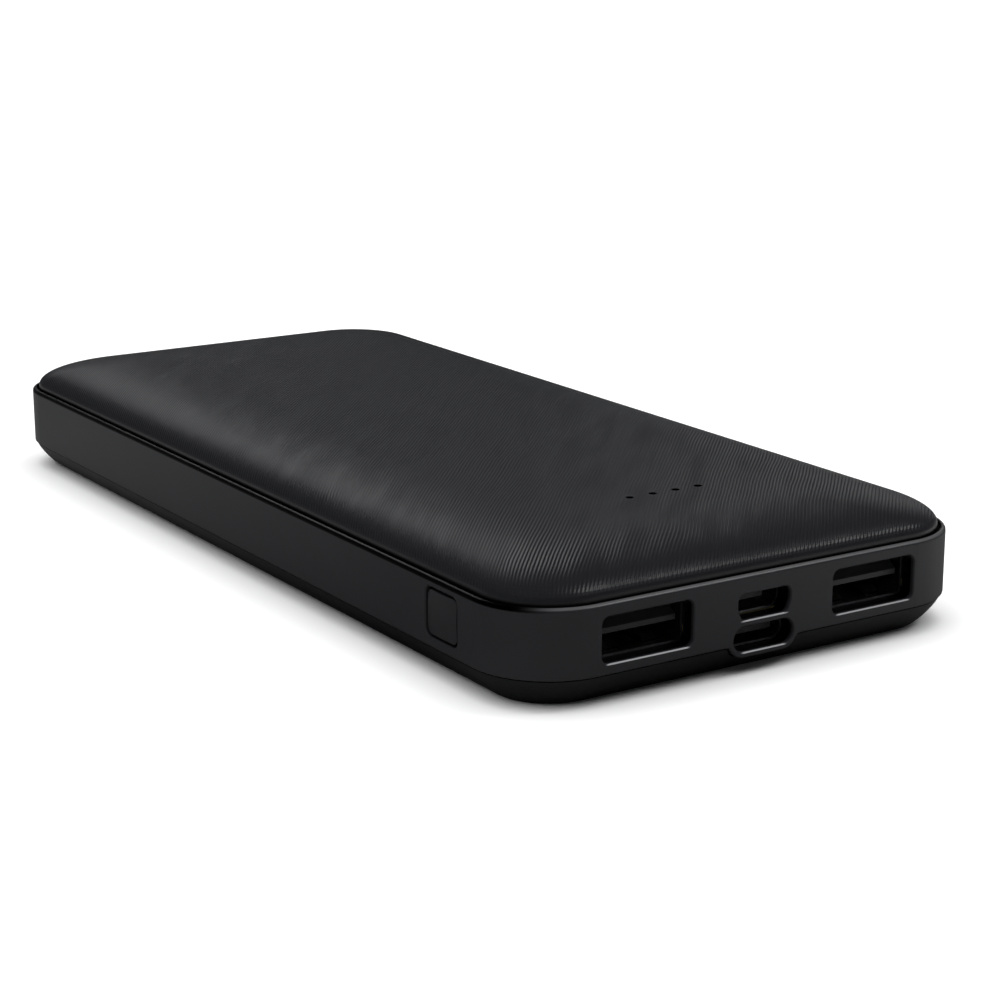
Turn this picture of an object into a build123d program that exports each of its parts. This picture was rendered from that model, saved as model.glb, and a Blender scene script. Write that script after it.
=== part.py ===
from build123d import *
import os
from math import cos, hypot, radians, sin

# Power bank: a slim rechargeable pack in a three-part plastic case. A domed top cover and a
# tray-shaped bottom cover close a band-shaped frame. The frame's front end has two USB-A sockets
# and, between them, a micro-USB socket above a USB-C socket. A push key sits in its left side.
# Inside are two stacked pouch cells and one circuit board that carries the sockets.
#
# Millimetres. X runs across the case, Y along it with the sockets at the -Y end, Z is up.
# The origin is at the centre of the footprint, on the surface that the case stands on.

# ---------------------------------------------------------------- driving dimensions

# Case
case_length = 152.0
case_width = 70.0
case_height = 17.2
corner_radius = 10.5  # plan radius of the frame's outer corners
parting_height = 3.95  # underside of the frame's band, where the bottom cover starts
cover_rise = 4.5  # how far the top cover stands above the frame's lip

# Frame
frame_wall = 2.2
front_wall = 2.1
lip_wall = 0.62  # what is left of the wall beside the top cover's seat
lip_round = 0.5
seat_depth = 0.9  # how far the top cover's seat lies below the lip
base_round = 0.25  # on the band's lower edge and round the USB-C tab

# Covers
cover_wall = 1.5
floor_thickness = 1.6
reveal_gap = 0.43  # shadow gap between the lip and the top cover
seam_gap = 0.15  # shadow gap between the band and the bottom cover
seam_land = 0.5  # width of the seam's gap
rim_rise = 1.1  # upright rim of the top cover, above its seat
dome_roll = 14.6  # width over which the dome rolls down to its rim
dome_power = 0.9  # under 1 gives fuller shoulders
dome_corner_radius = 7.0  # plan radius where the dome meets its flat top
belly_inset = 0.3  # how far the bottom cover's top edge stands back from the frame
belly_roll = 3.4  # width over which the bottom cover curls under
belly_power = 1.65  # 1 is a round curl, 2 a straight slope

# Locating skirts of both covers, and the snap hooks on them
skirt_wall = 1.05
skirt_depth = 2.0
skirt_root = 0.8
skirt_clearance = 0.15
skirt_from_front = 50.5
snap_count = 3
snap_length = 6.0
snap_height = 1.0
snap_from_edge = 0.7  # from the skirt's free edge to the middle of a hook
snap_bite = 0.45  # how far a hook reaches past the skirt
snap_clearance = 0.2

# Circuit board
board_thickness = 1.0
board_length = 38.8
board_side_gap = 1.6
board_front_gap = 0.4
board_corner_radius = 6.5
board_cutout_gap = 0.15

# All sockets
socket_recess = 0.15  # from the frame's inner face to the shells' front edges
socket_seat_gap = 0.01  # between a surface-mounted shell and the board
opening_edge_break = 0.15

# USB-A sockets
usb_a_from_side = 17.7  # from the case's side to the socket's centre
usb_a_height = 8.17  # centre of the opening
usb_a_opening = (13.2, 5.76)
usb_a_opening_radius = 1.0
usb_a_shell = (13.1, 5.7, 14.0)  # width, height, depth
usb_a_sheet = 0.3
usb_a_bend_radius = 0.7
usb_a_leaf = (2.0, 0.25)  # width and thickness of each contact leaf in the shell's floor
usb_a_leaf_offset = 2.9
usb_a_leaf_lift = 0.8
usb_a_leaf_window = (1.2, 9.5)  # from the shell's front edge
usb_a_leaf_gap = 0.3
usb_a_leaf_crest = (1.4, 2.6)  # where a leaf's raised flat begins and ends, behind its window's front
usb_a_leaf_dip = 0.3  # share of its lift that a leaf keeps at its tip
usb_a_foot = (1.2, 2.0)  # reach and length of each solder foot
usb_a_feet = (4.5, 11.0)  # from the shell's front edge
usb_a_tongue = (11.1, 1.84)
usb_a_tongue_recess = 0.15
usb_a_tongue_gap = 0.72  # between the tongue and the shell's roof
usb_a_tongue_nose = (1.6, 0.65)  # length of the slope on its upper side, thickness left at its tip
usb_a_block_depth = 3.5  # plastic block that closes the socket's rear
usb_a_pins = (-3.5, -1.0, 1.0, 3.5)
usb_a_pin = (1.0, 0.2)  # width, thickness
usb_a_pin_recess = 2.2
usb_a_pin_tail = (0.5, 1.9)  # where a pin turns down behind the shell, and where its foot ends

# USB-C socket, under the board
usb_c_height = 4.65  # centre of the opening
usb_c_opening = (9.2, 3.2)
usb_c_shell = (8.94, 3.16, 7.3)
usb_c_sheet = 0.3
usb_c_tongue = (6.7, 0.7)
usb_c_tongue_recess = 0.8
usb_c_block_depth = 2.0
usb_c_pin_count = 12  # on each face of the tongue
usb_c_pin_pitch = 0.5
usb_c_pin = (0.24, 0.06)
usb_c_pin_recess = 1.2
usb_c_room = 0.3  # clearance of the bottom cover round the shell
tab_margin = 0.72  # wall that the frame keeps round the USB-C opening, below its own underside
tab_blend = 0.7

# Micro-USB socket, on the board
micro_opening_grow = (0.5, 0.4)  # how much wider and taller than the shell the opening is
micro_shell = (7.5, 2.9, 5.2)
micro_sheet = 0.25
micro_taper = 0.8  # how much narrower the socket is at each bottom corner
micro_straight = 0.55  # share of its height that stays at full width
micro_corner_share = 0.16
micro_opening_corners = (0.6, 0.27)  # the opening's own taper and corner share
micro_tongue = (3.7, 0.6)
micro_tongue_lift = 0.25
micro_tongue_recess = 0.7
micro_block_depth = 1.2
micro_pin_count = 5
micro_pin_pitch = 0.65
micro_pin = (0.3, 0.12)
micro_pin_recess = 1.2
micro_pin_tail = (0.4, 1.4)

# Power key
key_from_front = 17.5
key_opening = (7.2, 6.3)  # along Y, along Z
key_opening_height = 8.35
key_opening_radius = 1.1
key_size = (6.5, 5.6)
key_radius = 0.9
key_edge_round = 0.3
key_crown_radius = 30.0
key_travel = 0.3
key_slack = 0.05
key_flange_thickness = 0.9
key_flange_overlap = (0.8, 0.2)  # past the opening, along Y and along Z
key_pusher_side = 1.8
key_pusher_gap = 0.02

# Tact switch
switch_size = (3.2, 6.0, 3.4)
switch_setback = 1.8  # from the board's edge
switch_sheet = 0.2
switch_plate_margin = 0.3
plunger_size = (2.6, 1.5)  # along Y, along Z
plunger_reach = 1.35
plunger_clearance = 0.05
plunger_bore_depth = 1.2

# Charge lights
light_count = 4
light_pitch = 3.6
light_from_front = 23.1
light_offset = 1.9  # from the case's centre line
light_hole_radius = 0.55
light_pin_clearance = 0.1
light_recess = 0.7
light_bar = (4.0, 1.8)  # width, height
light_bar_margin = 0.9
light_column_radius = 1.1
led_size = (1.6, 0.8, 0.65)
led_gap = 0.2

# Cells and their padding
cell_side_gap = 1.6  # from the covers' skirts
cell_front_gap = 5.5  # from the board
cell_rear_gap = 4.3  # from the frame
cell_edge_round = 1.4
cell_adhesive = 0.2
top_foam_thickness = 2.1
terrace_length = 3.0  # the sealed edge at the front of each pouch
terrace_thickness = 0.4
terrace_side_inset = 3.0
pad_inset = 1.0  # from the edge of the top cover's flat inside
pad_from_terrace = 8.0
rear_foam_width = 40.0
rear_foam_gap = 0.1
cell_stop = (24.0, 1.0, 2.2)  # ribs on the floor in front of the cell and behind it
cell_stop_gap = 0.2
tab_size = (8.0, 1.7, 0.2)
tab_offset = 15.0
strap_foot = 3.5
strap_overlap = 0.4

# Screws that hold the board
screw_radius = 0.85
screw_length = 5.0
screw_head_radius = 1.7
screw_head_height = 1.0
screw_head_round = 0.35
screw_slot = (2.0, 0.45, 0.5)  # length, width, depth of the cross recess
screw_hole_radius = 1.1
screw_fit = 0.03
screw_tip_room = 0.5
boss_radius = 2.3
screw_from_side = 6.9
screws_from_front = (10.0, 38.0)

past = 1.0  # how far a cutter runs past what it cuts
bed = 0.5  # how far a wall or post runs into the body that it grows from
roll_step = 5  # degrees between the sections of a rolled edge

# ---------------------------------------------------------------- derived places

half_length = case_length / 2
half_width = case_width / 2
front = -half_length
inner_front = front + front_wall
socket_front = inner_front + socket_recess
lip_height = case_height - cover_rise
seat_height = lip_height - seat_depth
cover_inset = lip_wall + reveal_gap
skirt_inset = frame_wall + skirt_clearance
skirt_inner = skirt_inset + skirt_wall
dome_base = seat_height + rim_rise
ceiling = case_height - cover_wall
flat_inset = cover_inset + dome_roll  # where the top cover's roll ends

board_bottom = usb_c_height + usb_c_shell[1] / 2 + socket_seat_gap
board_top = board_bottom + board_thickness
board_half_width = half_width - frame_wall - board_side_gap
board_front = inner_front + board_front_gap
board_rear = board_front + board_length

usb_a_x = half_width - usb_a_from_side
micro_height = board_top + micro_shell[1] / 2
key_y = front + key_from_front
key_z = key_opening_height
switch_x = switch_setback - board_half_width
plunger_z = board_top + switch_size[2] / 2
plunger_tip = switch_x - plunger_reach
light_y = front + light_from_front
lights_x = [light_offset + (i - (light_count - 1) / 2) * light_pitch for i in range(light_count)]

skirt_ends = (front + skirt_from_front, half_length - corner_radius)
snap_pitch = (skirt_ends[1] - skirt_ends[0]) / snap_count
snaps_y = [skirt_ends[0] + (i + 0.5) * snap_pitch for i in range(snap_count)]
top_snap_z = seat_height - skirt_depth + snap_from_edge
bottom_snap_z = parting_height + skirt_depth - snap_from_edge

cell_width = 2 * (half_width - skirt_inner - cell_side_gap)
cell_front = board_rear + cell_front_gap
cell_rear = half_length - frame_wall - cell_rear_gap
cell_length = cell_rear - cell_front
cell_height = (ceiling - top_foam_thickness - floor_thickness) / 2 - cell_adhesive
lower_cell_z = floor_thickness + cell_adhesive
upper_cell_z = lower_cell_z + cell_height + cell_adhesive
cells_top = upper_cell_z + cell_height

screw_x = half_width - screw_from_side
screws_xy = [(side * screw_x, front + back) for side in (-1, 1) for back in screws_from_front]


# ---------------------------------------------------------------- shape helpers


def plan(inset, z, radius=None):
    """The case's outline, moved inwards by inset, at height z."""
    corner = corner_radius - inset if radius is None else radius
    return Pos(0, 0, z) * RectangleRounded(case_width - 2 * inset, case_length - 2 * inset, corner)


def slab(inset, low, high):
    return extrude(plan(inset, low), high - low)


def ring(outer_inset, inner_inset, low, high):
    return slab(outer_inset, low, high) - slab(inner_inset, low - past, high + past)


def span(x, y, z):
    """A box from its (low, high) pair along each axis."""
    size = [high - low for low, high in (x, y, z)]
    middle = [(high + low) / 2 for low, high in (x, y, z)]
    return Pos(*middle) * Box(*size)


def about(middle, size):
    """The (low, high) pair of a length centred on middle."""
    return middle - size / 2, middle + size / 2


def box_on(x, y, base, size):
    """A box centred at x, y that stands on the height base."""
    return Pos(x, y, base + size[2] / 2) * Box(*size)


def post(x, y, low, high, radius):
    return Pos(x, y, (low + high) / 2) * Cylinder(radius, high - low)


def facing_front(sketch, x, z, y, depth):
    """A sketch drawn as seen from the front, pushed back by depth from the plane at y."""
    wall = Plane(origin=(x, y, z), x_dir=(1, 0, 0), z_dir=(0, -1, 0))
    return extrude(wall * sketch, -depth)


def facing_left(sketch, y, z, x, depth):
    """A sketch in the YZ plane, pushed into the case by depth from the plane at x."""
    return extrude(Plane.YZ.offset(x) * Pos(y, z) * sketch, depth)


def bent_strip(points, thickness, width, x):
    """Sheet metal bent along (y, z) points, centred on x."""
    return extrude(Plane.YZ.offset(x - width / 2) * trace(Polyline(*points), thickness), width)


def group(shapes):
    """Separate like solids as one node."""
    return Compound(children=[solid for shape in shapes for solid in shape.solids()])


# ---------------------------------------------------------------- case


def dome(base_inset, roll, top, top_radius):
    """A pillow-shaped solid that rolls from its flat top down to an upright edge."""
    base_radius = corner_radius - base_inset
    sections = []
    for angle in range(0, 91, roll_step):
        across = 1 - cos(radians(angle))
        up = sin(radians(angle)) ** dome_power
        radius = base_radius + (top_radius - base_radius) * across
        sections.append(plan(base_inset + roll * across, dome_base + (top - dome_base) * up, radius))
    return loft(sections)


def skirt_strips(whole):
    """The parts of a ring along the case's long sides and its rear end."""
    across = half_width - corner_radius
    tall = (0, case_height)
    beside = (half_width - skirt_inner - past, half_width)
    left = whole & span((-beside[1], -beside[0]), skirt_ends, tall)
    right = whole & span(beside, skirt_ends, tall)
    rear = whole & span((-across, across), (half_length - skirt_inner - past, half_length), tall)
    return left + right + rear


def snap_hooks(z, grow=0.0):
    """The hooks on a skirt's outer face. With grow they are the pockets that take them."""
    face = half_width - skirt_inset
    height = snap_height + 2 * grow
    length = snap_length + 2 * grow
    hooks = []
    for y in snaps_y:
        low, high = face - skirt_wall / 2, face + snap_bite + grow
        hooks.append(span((low, high), about(y, length), about(z, height)))
        hooks.append(span((-high, -low), about(y, length), about(z, height)))
    return hooks


def make_top_cover():
    hollow_inset = cover_inset + cover_wall
    cover = slab(cover_inset, seat_height, dome_base)
    cover += dome(cover_inset, dome_roll, case_height, dome_corner_radius)
    cover -= slab(hollow_inset, seat_height - past, dome_base)
    cover -= dome(hollow_inset, dome_roll - cover_wall, ceiling, dome_corner_radius - cover_wall)
    cover += skirt_strips(ring(cover_inset + bed, skirt_inner, seat_height, seat_height + skirt_root))
    cover += skirt_strips(ring(skirt_inset, skirt_inner, seat_height - skirt_depth, seat_height + bed))
    cover += snap_hooks(top_snap_z)
    for x in lights_x:
        cover -= post(x, light_y, ceiling - past, case_height + past, light_hole_radius)
    return cover


def usb_c_tab(grow, top):
    """Front view of the frame's dip round the USB-C opening, from the height top downwards."""
    margin = 2 * (tab_margin + grow)
    around = Pos(0, usb_c_height) * SlotOverall(usb_c_opening[0] + margin, usb_c_opening[1] + margin)
    wide = 2 * usb_c_opening[0]
    base = parting_height - grow
    above = Pos(0, (base + usb_c_height) / 2) * Rectangle(wide, usb_c_height - base)
    outline = around + above
    concave = outline.vertices().filter_by(lambda v: abs(v.Y - base) < 1e-3 and abs(v.X) < wide / 2 - 1e-3)
    outline = fillet(concave, tab_blend)
    below = Pos(0, (top + usb_c_height) / 2 - usb_c_height) * Rectangle(wide, top + usb_c_height)
    return outline & below


def socket_openings(y, depth):
    """Cutters for the four socket openings, from the plane at y inwards."""
    usb_a = RectangleRounded(*usb_a_opening, usb_a_opening_radius)
    micro_size = [size + grow for size, grow in zip(micro_shell, micro_opening_grow)]
    taper, corner_share = micro_opening_corners
    micro = micro_outline(*micro_size, taper=taper, corner_share=corner_share)
    usb_c = SlotOverall(*usb_c_opening)
    return [
        facing_front(usb_a, -usb_a_x, usb_a_height, y, depth),
        facing_front(usb_a, usb_a_x, usb_a_height, y, depth),
        facing_front(micro, 0, micro_height, y, depth),
        facing_front(usb_c, 0, usb_c_height, y, depth),
    ]


def is_low_outer_edge(edge):
    """True for an edge of the band's underside or the USB-C tab that lies on the case's outline."""
    middle = edge @ 0.5
    beyond_x = max(abs(middle.X) - half_width + corner_radius, 0)
    beyond_y = max(abs(middle.Y) - half_length + corner_radius, 0)
    return middle.Z < parting_height + 1e-3 and abs(hypot(beyond_x, beyond_y) - corner_radius) < 1e-3


def make_mid_frame():
    outside = slab(0, parting_height, lip_height)
    outside = fillet(outside.faces().sort_by(Axis.Z)[-1].edges(), lip_round)
    behind_front_wall = span((-half_width, half_width), (inner_front, half_length), (0, case_height))
    frame = outside - (slab(frame_wall, parting_height - past, lip_height + past) & behind_front_wall)
    frame -= slab(lip_wall, seat_height, lip_height + past)
    tab = facing_front(usb_c_tab(0, usb_c_height), 0, 0, front, front_wall)
    frame += tab
    frame = fillet(frame.edges().filter_by(is_low_outer_edge), base_round)
    frame -= socket_openings(front - past, front_wall + 2 * past)
    key_hole = RectangleRounded(*key_opening, key_opening_radius)
    frame -= facing_left(key_hole, key_y, key_opening_height, -half_width - past, frame_wall + 2 * past)
    frame -= snap_hooks(top_snap_z, snap_clearance)
    frame -= snap_hooks(bottom_snap_z, snap_clearance)
    front_face = frame.faces().filter_by(Axis.Y).sort_by(Axis.Y)[0]
    left_face = frame.faces().filter_by(Axis.X).sort_by(Axis.X)[0]
    mouths = [*front_face.inner_wires(), *left_face.inner_wires()]
    return chamfer([edge for mouth in mouths for edge in mouth.edges()], opening_edge_break)


def make_bottom_cover():
    top = parting_height - seam_gap
    sections = []
    for angle in range(0, 91, roll_step):
        inset = belly_inset + belly_roll * (1 - sin(radians(angle)) ** belly_power)
        sections.append(plan(inset, top * (1 - cos(radians(angle)) ** belly_power)))
    cover = loft(sections)
    cover += slab(belly_inset + seam_land, top - bed, parting_height)
    cover -= slab(skirt_inner, floor_thickness, parting_height + past)
    cover += skirt_strips(ring(skirt_inset, skirt_inner, parting_height - bed, parting_height + skirt_depth))
    cover += snap_hooks(bottom_snap_z)
    cover -= facing_front(usb_c_tab(seam_gap, usb_c_height), 0, 0, front - past, front_wall + 2 * past)
    room = about(0, usb_c_shell[0] + 2 * usb_c_room)
    low = usb_c_height - usb_c_shell[1] / 2 - usb_c_room
    cover -= span(room, (inner_front, inner_front + usb_c_shell[2]), (low, parting_height + past))
    for x, y in screws_xy:
        cover += post(x, y, floor_thickness - bed, board_bottom, boss_radius)
        tip = board_top - screw_length - screw_tip_room
        cover -= post(x, y, tip, board_bottom + past, screw_radius + screw_fit)
    stop = (cell_stop[0], cell_stop[1], cell_stop[2] + bed)
    in_front = cell_front + terrace_length - cell_stop_gap - cell_stop[1] / 2
    behind = cell_rear + cell_stop_gap + cell_stop[1] / 2
    for y in (in_front, behind):
        cover += box_on(0, y, floor_thickness - bed, stop)
    return cover


# ---------------------------------------------------------------- power key and its switch


def make_power_button():
    depth = frame_wall + key_slack
    cap = facing_left(RectangleRounded(*key_size, key_radius), key_y, key_z, -half_width, depth)
    cap = fillet(cap.faces().sort_by(Axis.X)[0].edges(), key_edge_round)
    cap &= Pos(key_crown_radius - half_width, key_y, key_z) * Sphere(key_crown_radius)
    flange_x = (depth - half_width, depth - half_width + key_flange_thickness)
    flange_size = [opening + 2 * lap for opening, lap in zip(key_opening, key_flange_overlap)]
    flange = span(flange_x, about(key_y, flange_size[0]), about(key_z, flange_size[1]))
    pusher_x = (flange_x[1] - key_slack, plunger_tip - key_pusher_gap)
    pusher = span(pusher_x, about(key_y, key_pusher_side), about(plunger_z, key_pusher_side))
    return cap + flange + pusher


def make_switch_housing():
    body = box_on(switch_x + switch_size[0] / 2, key_y, board_top, switch_size)
    bore = [side + 2 * plunger_clearance for side in plunger_size]
    bore_x = (switch_x - past, switch_x + plunger_bore_depth)
    return body - span(bore_x, about(key_y, bore[0]), about(plunger_z, bore[1]))


def make_switch_plunger():
    stem_end = switch_x + plunger_bore_depth - key_travel - plunger_clearance
    return span((plunger_tip, stem_end), about(key_y, plunger_size[0]), about(plunger_z, plunger_size[1]))


def make_switch_plate():
    """The bent steel plate over the switch, with a leg down each end to the board."""
    x = (switch_x + switch_plate_margin, switch_x + switch_size[0] - switch_plate_margin)
    top = board_top + switch_size[2]
    outer = span(x, about(key_y, switch_size[1] + 2 * switch_sheet), (board_top, top + switch_sheet))
    inner_x = (x[0] - past, x[1] + past)
    return outer - span(inner_x, about(key_y, switch_size[1]), (board_top - past, top))


# ---------------------------------------------------------------- sockets


def make_usb_a_shell(x):
    """The folded steel shell, with two contact leaves in its floor and four solder feet."""
    width, height, depth = usb_a_shell
    sheet = usb_a_sheet
    floor_z = usb_a_height - height / 2 + sheet
    outer = RectangleRounded(width, height, usb_a_bend_radius)
    inner = RectangleRounded(width - 2 * sheet, height - 2 * sheet, usb_a_bend_radius - sheet)
    shell = facing_front(outer, x, usb_a_height, socket_front, depth)
    shell -= facing_front(inner, x, usb_a_height, socket_front - past, depth + 2 * past)
    leaf_width, leaf_thickness = usb_a_leaf
    window_front, window_rear = (socket_front + back for back in usb_a_leaf_window)
    low = floor_z - sheet / 2
    leaf_path = [
        (window_rear + bed, low),
        (window_rear - usb_a_leaf_lift, low),
        (window_front + usb_a_leaf_crest[1], low + usb_a_leaf_lift),
        (window_front + usb_a_leaf_crest[0], low + usb_a_leaf_lift),
        (window_front + usb_a_leaf_gap, low + usb_a_leaf_dip * usb_a_leaf_lift),
    ]
    for side in (-1, 1):
        leaf_x = x + side * usb_a_leaf_offset
        window_x = about(leaf_x, leaf_width + 2 * usb_a_leaf_gap)
        shell -= span(window_x, (window_front, window_rear), (floor_z - 2 * sheet, floor_z))
        shell += bent_strip(leaf_path, leaf_thickness, leaf_width, leaf_x)
        for back in usb_a_feet:
            foot_x = sorted((x + side * (width / 2 - sheet), x + side * (width / 2 + usb_a_foot[0])))
            foot_y = (socket_front + back, socket_front + back + usb_a_foot[1])
            shell += span(foot_x, foot_y, (board_top, board_top + sheet))
    return shell


def usb_a_tongue_z():
    """The heights of the tongue's underside and its top."""
    top = usb_a_height + usb_a_shell[1] / 2 - usb_a_sheet - usb_a_tongue_gap
    return top - usb_a_tongue[1], top


def make_usb_a_contacts(x):
    """Four strips along the tongue's underside that turn down behind the shell to the board."""
    width, thickness = usb_a_pin
    rear = socket_front + usb_a_shell[2]
    under = usb_a_tongue_z()[0] - thickness / 2
    foot = board_top + thickness / 2
    path = [
        (socket_front + usb_a_pin_recess, under),
        (rear + usb_a_pin_tail[0], under),
        (rear + usb_a_pin_tail[0], foot),
        (rear + usb_a_pin_tail[1], foot),
    ]
    return group([bent_strip(path, thickness, width, x + pin) for pin in usb_a_pins])


def make_usb_a_core(x, contacts):
    """The moulded plastic core: a block that fills the shell's rear, and the tongue before it."""
    width, height, depth = usb_a_shell
    rear = socket_front + depth
    block_front = rear - usb_a_block_depth
    tip, root = socket_front + usb_a_tongue_recess, block_front + bed
    slope_length, tip_thickness = usb_a_tongue_nose
    under, top = usb_a_tongue_z()
    slope = [(tip, under + tip_thickness), (tip + slope_length, top)]
    side = make_face(Polyline((tip, under), *slope, (root, top), (root, under), close=True))
    tongue = extrude(Plane.YZ.offset(x - usb_a_tongue[0] / 2) * side, usb_a_tongue[0])
    inside = RectangleRounded(
        width - 2 * usb_a_sheet, height - 2 * usb_a_sheet, usb_a_bend_radius - usb_a_sheet
    )
    block = facing_front(inside, x, usb_a_height, block_front, usb_a_block_depth)
    return tongue + block - contacts.solids()


def micro_outline(width, height, shrink=0.0, taper=micro_taper, corner_share=micro_corner_share):
    """The micro-USB socket's outline: square on top, with its bottom corners cut back."""
    half_w, half_h = width / 2 - shrink, height / 2 - shrink
    shoulder = half_h - height * micro_straight
    corners = Polyline(
        (-half_w, half_h),
        (half_w, half_h),
        (half_w, shoulder),
        (half_w - taper, -half_h),
        (taper - half_w, -half_h),
        (-half_w, shoulder),
        close=True,
    )
    shape = make_face(corners)
    return fillet(shape.vertices(), height * corner_share)


def make_micro_shell():
    width, height, depth = micro_shell
    outer, inner = micro_outline(width, height), micro_outline(width, height, micro_sheet)
    shell = facing_front(outer, 0, micro_height, socket_front, depth)
    return shell - facing_front(inner, 0, micro_height, socket_front - past, depth + 2 * past)


def make_micro_contacts():
    width, thickness = micro_pin
    rear = socket_front + micro_shell[2]
    under = micro_height + micro_tongue_lift - micro_tongue[1] / 2 - thickness / 2
    foot = board_top + thickness / 2
    path = [
        (socket_front + micro_pin_recess, under),
        (rear + micro_pin_tail[0], under),
        (rear + micro_pin_tail[0], foot),
        (rear + micro_pin_tail[1], foot),
    ]
    middle = (micro_pin_count - 1) / 2
    pins = [(pin - middle) * micro_pin_pitch for pin in range(micro_pin_count)]
    return group([bent_strip(path, thickness, width, x) for x in pins])


def make_micro_core(contacts):
    width, height, depth = micro_shell
    block_front = socket_front + depth - micro_block_depth
    inside = micro_outline(width, height, micro_sheet)
    core = facing_front(inside, 0, micro_height, block_front, micro_block_depth)
    tongue_y = (socket_front + micro_tongue_recess, block_front + bed)
    tongue_z = about(micro_height + micro_tongue_lift, micro_tongue[1])
    core += span(about(0, micro_tongue[0]), tongue_y, tongue_z)
    return core - contacts.solids()


def make_usb_c_shell():
    width, height, depth = usb_c_shell
    hollow = SlotOverall(width - 2 * usb_c_sheet, height - 2 * usb_c_sheet)
    shell = facing_front(SlotOverall(width, height), 0, usb_c_height, socket_front, depth)
    return shell - facing_front(hollow, 0, usb_c_height, socket_front - past, depth + 2 * past)


def make_usb_c_core():
    width, height, depth = usb_c_shell
    hollow = SlotOverall(width - 2 * usb_c_sheet, height - 2 * usb_c_sheet)
    block_front = socket_front + depth - usb_c_block_depth
    core = facing_front(hollow, 0, usb_c_height, block_front, usb_c_block_depth)
    tongue_y = (socket_front + usb_c_tongue_recess, block_front + bed)
    return core + span(about(0, usb_c_tongue[0]), tongue_y, about(usb_c_height, usb_c_tongue[1]))


def make_usb_c_contacts():
    """Two rows of flat contacts, on the tongue's upper and lower faces."""
    width, thickness = usb_c_pin
    y = (socket_front + usb_c_pin_recess, socket_front + usb_c_shell[2] - usb_c_block_depth)
    offset = usb_c_tongue[1] / 2 + thickness / 2
    middle = (usb_c_pin_count - 1) / 2
    pins = []
    for z in (usb_c_height - offset, usb_c_height + offset):
        for pin in range(usb_c_pin_count):
            pins.append(span(about((pin - middle) * usb_c_pin_pitch, width), y, about(z, thickness)))
    return group(pins)


# ---------------------------------------------------------------- circuit board and what it carries


def make_circuit_board():
    outline = RectangleRounded(2 * board_half_width, board_length, board_corner_radius)
    board = extrude(Pos(0, (board_front + board_rear) / 2, board_bottom) * outline, board_thickness)
    sunk_width = usb_a_shell[0] + 2 * board_cutout_gap
    sunk_rear = socket_front + usb_a_shell[2] + board_cutout_gap
    through = (board_bottom - past, board_top + past)
    for x in (-usb_a_x, usb_a_x):
        board -= span(about(x, sunk_width), (board_front - past, sunk_rear), through)
    for x, y in screws_xy:
        board -= post(x, y, *through, screw_hole_radius)
    return board


def make_board_screws():
    length, width, depth = screw_slot
    screws = []
    for x, y in screws_xy:
        top = board_top + screw_head_height
        head = post(x, y, board_top, top, screw_head_radius)
        head = fillet(head.faces().sort_by(Axis.Z)[-1].edges(), screw_head_round)
        screw = head + post(x, y, board_top - screw_length, board_top, screw_radius)
        screw -= box_on(x, y, top - depth, (length, width, depth + past))
        screw -= box_on(x, y, top - depth, (width, length, depth + past))
        screws.append(screw)
    return group(screws)


def on_board(places, size, edge_round=0.08):
    """Identical surface-mounted parts, one at each (x, distance from the front)."""
    parts = [box_on(x, front + back, board_top, size) for x, back in places]
    return group([fillet(part.edges().filter_by(Axis.Z), edge_round) for part in parts])


def make_light_guide():
    """The clear bar under the top cover: a column down to each light, a pin up its pinhole."""
    width, height = light_bar
    ends = light_column_radius + light_bar_margin
    x = (lights_x[0] - ends, lights_x[-1] + ends)
    guide = span(x, about(light_y, width), (ceiling - height, ceiling))
    for light_x in lights_x:
        low = board_top + led_size[2] + led_gap
        guide += post(light_x, light_y, low, ceiling - height / 2, light_column_radius)
        pin_top = case_height - light_recess
        guide += post(light_x, light_y, ceiling - bed, pin_top, light_hole_radius - light_pin_clearance)
    return guide


# ---------------------------------------------------------------- cells


def make_cell(base):
    """A pouch cell: its swollen body and the flat sealed terrace that its tabs come out of."""
    body = span(about(0, cell_width), (cell_front + terrace_length, cell_rear), (base, base + cell_height))
    body = fillet(body.edges().filter_by(Axis.Y), cell_edge_round)
    terrace_x = about(0, cell_width - 2 * terrace_side_inset)
    terrace_y = (cell_front, cell_front + terrace_length + bed)
    return body + span(terrace_x, terrace_y, about(base + cell_height / 2, terrace_thickness))


def tab_height(base):
    return base + cell_height / 2


def make_cell_tabs(side):
    """The two cells' tabs of one polarity."""
    width, length, thickness = tab_size
    x = about(side * tab_offset, width)
    y = (cell_front - length, cell_front)
    heights = [tab_height(base) for base in (lower_cell_z, upper_cell_z)]
    return group([span(x, y, about(z, thickness)) for z in heights])


def make_strap(side):
    """The nickel strap that joins two tabs and lands on the board."""
    width, length, thickness = tab_size
    x = about(side * tab_offset, width)
    rear = cell_front - length
    z = (tab_height(lower_cell_z) - strap_overlap, tab_height(upper_cell_z) + strap_overlap)
    upright = span(x, (rear - thickness, rear), z)
    return upright + span(x, (board_rear - strap_foot, rear), (board_top, board_top + thickness))


def cell_pad(low, high):
    """A pad or tape on the cells' flat faces, as large as the flat of the top cover's inside."""
    x = about(0, 2 * (half_width - flat_inset - pad_inset))
    y = (cell_front + terrace_length + pad_from_terrace, half_length - flat_inset - pad_inset)
    return span(x, y, (low, high))


def make_rear_foam():
    """Foam block between the cells and the frame, between the two covers' skirts."""
    z = (parting_height + skirt_depth + rear_foam_gap, seat_height - skirt_depth - rear_foam_gap)
    return span(about(0, rear_foam_width), (cell_rear, half_length - frame_wall), z)


# ---------------------------------------------------------------- write the parts

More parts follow.
